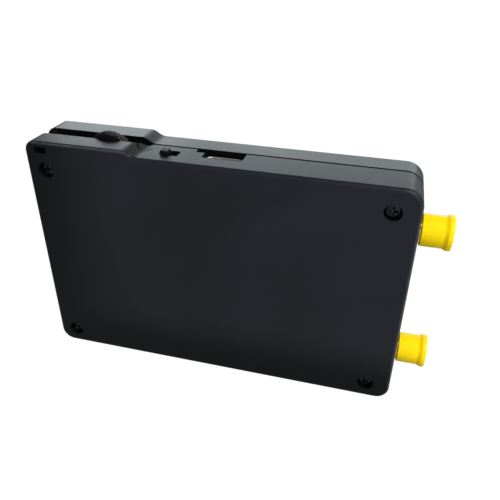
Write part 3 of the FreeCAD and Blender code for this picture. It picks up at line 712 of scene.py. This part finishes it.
def threaded_barrel(root, tip, middle):
    """A tube with a helical thread outside: rows along its length, then back through its bore."""
    angle = full_turn(PORT_COLUMNS)
    x = np.linspace(root, tip - PORT_CHAMFER, 150)[:, None]
    fade_in = fade(x, root + THREAD_STARTS[0], root + THREAD_STARTS[1])
    fade_out = 1 - fade(x, tip - THREAD_ENDS[0], tip - THREAD_ENDS[1])
    cut = THREAD_DEPTH * thread_wave(x, THREAD_PITCH, angle) * fade_in * fade_out
    mouth = round_profile([
        (tip - PORT_CHAMFER, PORT_RADIUS), (tip, PORT_RADIUS - PORT_CHAMFER), (tip, PORT_BORE + 0.15),
        (tip - 0.15, PORT_BORE), (root, PORT_BORE),
    ], [0.1, 0.05, 0.05])
    outside = rings_about_x(x, PORT_RADIUS - cut, angle, middle)
    return np.concatenate([outside, turn(mouth, middle, PORT_COLUMNS)])


def rounded_plate(x_range, middle, half, corner):
    """A plate across X with a rounded square outline: a superellipse of order 8, closed at both faces."""
    angle = full_turn(64)
    reach = half / (np.abs(np.cos(angle)) ** 8 + np.abs(np.sin(angle)) ** 8) ** (1 / 8)
    back, front, bevel = *x_range, 0.15
    section = [(back, 0), (back, 1 - corner), (back + bevel, 1),
               (front - bevel, 1), (front, 1 - corner), (front, 0)]
    return np.stack([rings_about_x(x, share * reach, angle, middle) for x, share in section])


wall = case_high[0] - CASE_WALL
for place in ("lower", "upper"):
    middle, size = measure("port_body_" + place)
    barrel = threaded_barrel(wall, middle[0] + size[0] / 2, middle)
    flange = rounded_plate((wall - FLANGE_DEPTH, wall), middle, size[1] / 2, 0.04)
    make_piece("port_" + place, [patch(barrel, wrap_rows=True), patch(flange)], gold_brass, "case",
               ["port_body_" + place])

# %% [markdown]
# ## Case screws
#
# Four small pan head screws sit deep in round wells. The head is one polar grid: a low dome, less a
# cross whose arms fade out towards the rim and slope down towards the middle. The same grid goes on
# over the edge of the head, under it and down the threaded shank to a point.
# %% Model the screws
HEAD_RADIUS = 1.75
HEAD_HEIGHT = 1.3
HEAD_ROUND = 0.3
DOME_DROP = 0.18
DRIVE_ARM = 1.05
DRIVE_WIDTH = 0.24
SHANK_RADIUS = 1.0
SCREW_PITCH = 0.6
SCREW_THREAD = 0.2


def cross_drive(x, z):
    """How deep the drive is at each point: two crossed slots, deepest in the middle."""
    def slot_depth(along, across):
        in_width = 1 - fade(np.abs(across), DRIVE_WIDTH * 0.6, DRIVE_WIDTH)
        in_length = 1 - fade(np.abs(along), DRIVE_ARM * 0.75, DRIVE_ARM)
        return in_width * in_length
    reach = np.sqrt(x ** 2 + z ** 2)
    return np.maximum(slot_depth(x, z), slot_depth(z, x)) * (0.75 - 0.35 * reach / DRIVE_ARM)


def rings_about_y(depth, r, angle):
    """Rings round the Y axis: depth and r are arrays, row by row."""
    return np.stack([r * np.cos(angle), depth + 0 * angle, r * np.sin(angle)], axis=-1)


def screw(centre, head_top, tip, twist):
    """A screw along Y: head, underside and threaded shank as one grid of rings."""
    angle = full_turn(96)
    seat = head_top + HEAD_HEIGHT
    r = np.linspace(0, HEAD_RADIUS - HEAD_ROUND, 26)[:, None]
    drive = cross_drive(r * np.cos(angle + twist), r * np.sin(angle + twist))
    dome = head_top + DOME_DROP * (r / HEAD_RADIUS) ** 2 + drive
    edge = round_profile([
        (head_top + 0.14, HEAD_RADIUS - 0.28), (head_top + HEAD_ROUND, HEAD_RADIUS), (seat, HEAD_RADIUS),
        (seat, SHANK_RADIUS),
    ], [0.2, 0.1])
    depth = np.linspace(seat + 0.1, tip, 70)[:, None]
    cut = SCREW_THREAD * thread_wave(depth, SCREW_PITCH, angle)
    shank_r = (SHANK_RADIUS - cut) * (1 - fade(depth, tip - 1.0, tip))
    rings = np.concatenate([
        rings_about_y(dome, r, angle), rings_about_y(edge[:, :1], edge[:, 1:], angle),
        rings_about_y(depth, shank_r, angle),
    ])
    return rings + np.array([centre[0], 0, centre[1]])


screws_middle, screws_size = measure("case_screws")
screw_top = screws_middle[1] - screws_size[1] / 2
screw_patches = []
for side_x in (-1, 1):
    for side_z in (-1, 1):
        centre = (screws_middle[0] + side_x * (screws_size[0] / 2 - HEAD_RADIUS),
                  screws_middle[2] + side_z * (screws_size[2] / 2 - HEAD_RADIUS))
        twist = 0.5 + 0.8 * side_x + 0.35 * side_z
        screw_patches.append(patch(screw(centre, screw_top, screw_top + screws_size[1], twist)))
make_piece("screws", screw_patches, screw_steel, "case", ["case_screws"])

# %% [markdown]
# ## Jog wheel
#
# Only a hump of the thumb wheel stands out of the gap. Seen along its axis, its outline is a fan:
# the distance from the pivot is long over the fan's angle and short round the hub, and small teeth
# ripple the long part. The outline is carried across the wheel's thickness, with a rounded edge on
# both sides, and back through the pivot's bore, so the surface is a closed ring.
# %% Model the jog wheel
WHEEL_HALF_ANGLE = 62.0
WHEEL_TEETH = 28
TOOTH_DEPTH = 0.32
HUB_RADIUS = 2.3
PIVOT_BORE = 0.65


def fan_outline(angle, reach):
    """Distance from the pivot at each angle from straight up: a toothed fan on a round hub."""
    half = math.radians(WHEEL_HALF_ANGLE)
    side = 1 - fade(np.abs(angle), half - 0.02, half + 0.10)
    ripple = np.abs(np.sin(WHEEL_TEETH * math.pi * angle / (2 * half)))
    tooth = TOOTH_DEPTH * (1 - ripple ** 0.7) * (np.abs(angle) < half - 0.03)
    return HUB_RADIUS + (reach - HUB_RADIUS) * side - tooth


def jog_wheel_grid(near, far, reach):
    """The outline at each depth across the wheel, drawn in at both faces, and the bore at both ends."""
    angle = np.linspace(-math.pi, math.pi, 560, endpoint=False)
    outline = fan_outline(angle, reach)
    bore = PIVOT_BORE + 0 * angle
    section = [
        (near, bore), (near, outline - 0.35), (near + 0.1, outline - 0.1), (near + 0.35, outline),
        (far - 0.35, outline), (far - 0.1, outline - 0.1), (far, outline - 0.35), (far, bore),
    ]
    rows = []
    for depth, r in section:
        rows.append(np.stack([jog_pivot[0] + r * np.sin(angle), depth + 0 * angle,
                              jog_pivot[2] + r * np.cos(angle)], axis=-1))
    return np.stack(rows)


wheel_middle, wheel_size = measure("jog_wheel")
wheel_grid = jog_wheel_grid(
    wheel_middle[1] - wheel_size[1] / 2, wheel_middle[1] + wheel_size[1] / 2,
    reach=wheel_middle[2] + wheel_size[2] / 2 - jog_pivot[2])
make_piece("thumb_wheel", [patch(wheel_grid, wrap_rows=True)], wheel_plastic, "jog_wheel",
           ["jog_wheel"], sharp=50)

# %% [markdown]
# ## Power switch knob
#
# The knob is a small block with ribs across its top, so that a fingernail finds it. Its section is a
# superellipse, which is a box with soft corners, and rings of that section are drawn in towards the
# top, where a cosine makes the ribs.
# %% Model the switch knob
KNOB_RIBS = 3
RIB_HEIGHT = 0.5
RIB_FOOT = 0.52
KNOB_FOOT = 0.8
FOOT_HEIGHT = 2.0
FOOT_HALF = 0.85


def knob_grid(middle, half, low, top):
    """Rings of a superellipse from the bottom up, then inwards over the ribbed top."""
    angle = full_turn(128)
    reach = 1 / (np.abs(np.cos(angle)) ** 9 + np.abs(np.sin(angle)) ** 9) ** (1 / 9)
    rows = []
    for z, share in ((low, 0.0), (low, 0.97), (low + 0.1, 1.0), (top - 0.62, 1.0), (top - 0.56, 0.99)):
        rows.append((z + 0 * angle, share))
    for share in np.linspace(0.96, 0.0, 24):
        along = share * reach * np.cos(angle)
        rib = RIB_HEIGHT / 2 * (1 - np.cos(2 * math.pi * KNOB_RIBS * (along + 1) / 2))
        rows.append((top - RIB_FOOT + rib, share))
    grid = []
    for z, share in rows:
        grid.append(np.stack([middle[0] + half[0] * share * reach * np.cos(angle),
                              middle[1] + half[1] * share * reach * np.sin(angle), z], axis=-1))
    return np.stack(grid)


def knob_foot(middle, length, low):
    """A rounded plate stood on end and stretched to the knob's length."""
    plate = rounded_plate((low, low + FOOT_HEIGHT), middle, FOOT_HALF, 0.05)
    height, along, across = plate[..., 0], plate[..., 1] - middle[1], plate[..., 2] - middle[2]
    return np.stack([middle[0] + along * length / (2 * FOOT_HALF), middle[1] + across, height], axis=-1)


knob_middle, knob_size = measure("switch_knob")
knob_low, knob_top = knob_middle[2] - knob_size[2] / 2, knob_middle[2] + knob_size[2] / 2
stem_half = (knob_size[0] / 2 - KNOB_FOOT, knob_size[1] / 2)
stem = knob_grid(knob_middle, stem_half, knob_low + 0.5, knob_top)
foot = knob_foot(knob_middle, knob_size[0], knob_low)
make_piece("knob", [patch(stem), patch(foot)], wheel_plastic, "power_knob",
           ["switch_knob"])

# %% [markdown]
# ## USB-C socket
#
# The shell is one strip of steel bent into an oval and polished at its mouth. The oval is a flat box
# with half-round ends. It is carried up the shell, over a rounded lip and down again inside to the
# floor. Gold contacts lie in two rows on the tongue.
# %% Model the USB-C shell and contacts
USB_WALL = 0.3
USB_FLOOR = 1.0
CONTACTS = 12
CONTACT_STEP = 0.5
CONTACT_OFFSET = 0.35
CONTACT_SPAN = (3.0, 0.4)   # from the tip of the tongue, to the strip's two ends
CONTACT_HALF = (0.13, 0.06)


def oval(middle, half_length, half_width):
    """Points round a box with half-round ends: two half circles a straight run apart."""
    angle = full_turn(96)
    run = half_length - half_width
    return (middle[0] + run * np.sign(np.cos(angle)) + half_width * np.cos(angle),
            middle[1] + half_width * np.sin(angle))


def usb_shell_grid(middle, size):
    """Ovals up the outside, over the lip and down to the floor, closed at a point at both ends."""
    low, mouth = middle[2] - size[2] / 2, middle[2] + size[2] / 2
    section = round_profile([(low, 0), (mouth, 0), (mouth, USB_WALL), (low + USB_FLOOR, USB_WALL)],
                            [USB_WALL / 2.2] * 2)
    end_inset = size[1] / 2 - 0.01
    rows = [(low, end_inset), *section, (low + USB_FLOOR, end_inset)]
    grid = []
    for z, inset in rows:
        x, y = oval(middle, size[0] / 2 - inset, size[1] / 2 - inset)
        grid.append(np.stack([x, y, z + 0 * x], axis=-1))
    grid = np.array(grid)
    grid[[0, -1], :, :2] = middle[:2]
    return grid


def contact_strip(x, y, low, high):
    """One flat contact: a closed strip with rounded long edges, carried up along Z."""
    angle = full_turn(12)
    section = [(low, 0.0), (low, 0.8), (low + 0.05, 1.0), (high - 0.15, 1.0), (high, 0.6), (high, 0.0)]
    rows = []
    for z, share in section:
        rows.append(np.stack([x + CONTACT_HALF[0] * share * np.cos(angle),
                              y + CONTACT_HALF[1] * share * np.sin(angle), z + 0 * angle], axis=-1))
    return np.stack(rows)


usb_middle, usb_size = measure("usb_shell")
make_piece("usb_socket", [patch(usb_shell_grid(usb_middle, usb_size))], sheet_steel, "case",
           ["usb_shell"])

tongue_middle, tongue_size = measure("usb_tongue")
tongue_high = tongue_middle[2] + tongue_size[2] / 2
strip_low, strip_high = (tongue_high - distance for distance in CONTACT_SPAN)
strips = []
for face in (-1, 1):
    for contact in range(CONTACTS):
        x = tongue_middle[0] + (contact - (CONTACTS - 1) / 2) * CONTACT_STEP
        y = tongue_middle[1] + face * CONTACT_OFFSET
        strips.append(patch(contact_strip(x, y, strip_low, strip_high)))
make_piece("usb_contacts", strips, gold_brass, "case")

# %% [markdown]
# ## Floor, sky and lamps
#
# The object stands on a plain floor. The camera sees the floor and the sky as white, while the floor
# still takes a soft shadow, and all other rays meet a grey floor and a dim sky, so the back face,
# which mirrors the floor, stays nearly black. One broad low lamp far behind slides along the satin
# top side, as in the photograph, and a small one beside it follows the right corner round. A lamp
# high on the right and a weaker one in front light the yellow caps and the rounded edges.
# %% Build the stage
FLOOR_HALF = 6.0  # metres
FLOOR_GREY = 0.38
FLOOR_GLOW = 1.15
FLOOR_WHITE_SHARE = 0.85
SKY_SEEN = 1.0
SKY_LIGHT = 0.16
COOL = (0.90, 0.99, 1.03)
PLAIN = (1.0, 1.0, 1.0)


def seen_directly(tree):
    """A mask that is 1 for rays from the camera, also when they have come through glass."""
    path = tree.nodes.new("ShaderNodeLightPath")
    return calculate(tree, "MAXIMUM", path.outputs["Is Camera Ray"], path.outputs["Is Transmission Ray"])


def mix_into(tree, output_kind, share, first, second):
    """The first shader or the second, by their share, on the tree's output."""
    mix = add(tree, "ShaderNodeMixShader", {0: share, 1: first.outputs[0], 2: second.outputs[0]})
    output = tree.nodes.new(output_kind)
    tree.links.new(mix.outputs[0], output.inputs["Surface"])


def make_floor():
    """A wide square under the object: grey to the light, white to the camera, with a soft shadow."""
    grid = FLOOR_HALF * np.array([[[-1, -1, 0], [1, -1, 0]], [[-1, 1, 0], [1, 1, 0]]])
    vertices, faces = patch(grid, wrap_columns=False)
    mesh = bpy.data.meshes.new("floor")
    mesh.from_pydata(vertices.tolist(), [], faces.tolist())
    material = bpy.data.materials.new("floor")
    material.use_nodes = True
    tree = material.node_tree
    tree.nodes.clear()
    paint = add(tree, "ShaderNodeBsdfDiffuse", {"Color": (FLOOR_GREY, FLOOR_GREY, FLOOR_GREY, 1)})
    glow = add(tree, "ShaderNodeEmission", {"Color": (1, 1, 1, 1), "Strength": FLOOR_GLOW})
    share = calculate(tree, "MULTIPLY", seen_directly(tree), FLOOR_WHITE_SHARE)
    mix_into(tree, "ShaderNodeOutputMaterial", share, paint, glow)
    mesh.materials.append(material)
    floor = bpy.data.objects.new("floor", mesh)
    bpy.context.scene.collection.objects.link(floor)


def make_sky():
    """A white sky for the camera and a dim one for everything else."""
    world = bpy.data.worlds.new("sky")
    world.use_nodes = True
    tree = world.node_tree
    tree.nodes.clear()
    bright = add(tree, "ShaderNodeBackground", {"Color": (1, 1, 1, 1), "Strength": SKY_SEEN})
    dim = add(tree, "ShaderNodeBackground", {"Color": (1, 1, 1, 1), "Strength": SKY_LIGHT})
    mix_into(tree, "ShaderNodeOutputWorld", seen_directly(tree), dim, bright)
    bpy.context.scene.world = world


def make_lamp(name, place, aim, width, height, power, colour, roll=0.0):
    """A flat soft lamp at a place, in metres, turned to face the aim, then rolled by some degrees."""
    data = bpy.data.lights.new(name, "AREA")
    data.shape = "RECTANGLE"
    data.size = width
    data.size_y = height
    data.energy = power
    data.color = colour
    lamp = bpy.data.objects.new(name, data)
    lamp.location = place
    x, y, z = np.array(aim, dtype=float) - np.array(place, dtype=float)
    turned = Euler((math.atan2(math.hypot(x, y), -z), 0, math.atan2(-x, y))).to_matrix()
    lamp.rotation_euler = (turned @ Matrix.Rotation(math.radians(roll), 3, "Z")).to_euler()
    bpy.context.scene.collection.objects.link(lamp)


make_floor()
make_sky()
make_lamp("behind", (-0.16, 1.1, 0.30), (0, 0, 0.05), 1.25, 0.5, 7.6, COOL, roll=4.0)
make_lamp("behind_right", (0.66, 0.95, 0.12), (0, 0, 0.03), 0.6, 0.26, 0.5, COOL)
make_lamp("right_top", (0.60, -0.40, 0.90), (0, 0, 0.03), 0.7, 0.7, 15.0, PLAIN)
make_lamp("front", (0.55, -1.0, 0.25), (0.05, 0, 0.03), 0.6, 0.6, 4.6, PLAIN)
print("stage is ready")

# %% [markdown]
# ## The end
# %% Finish
print("the scene is ready")
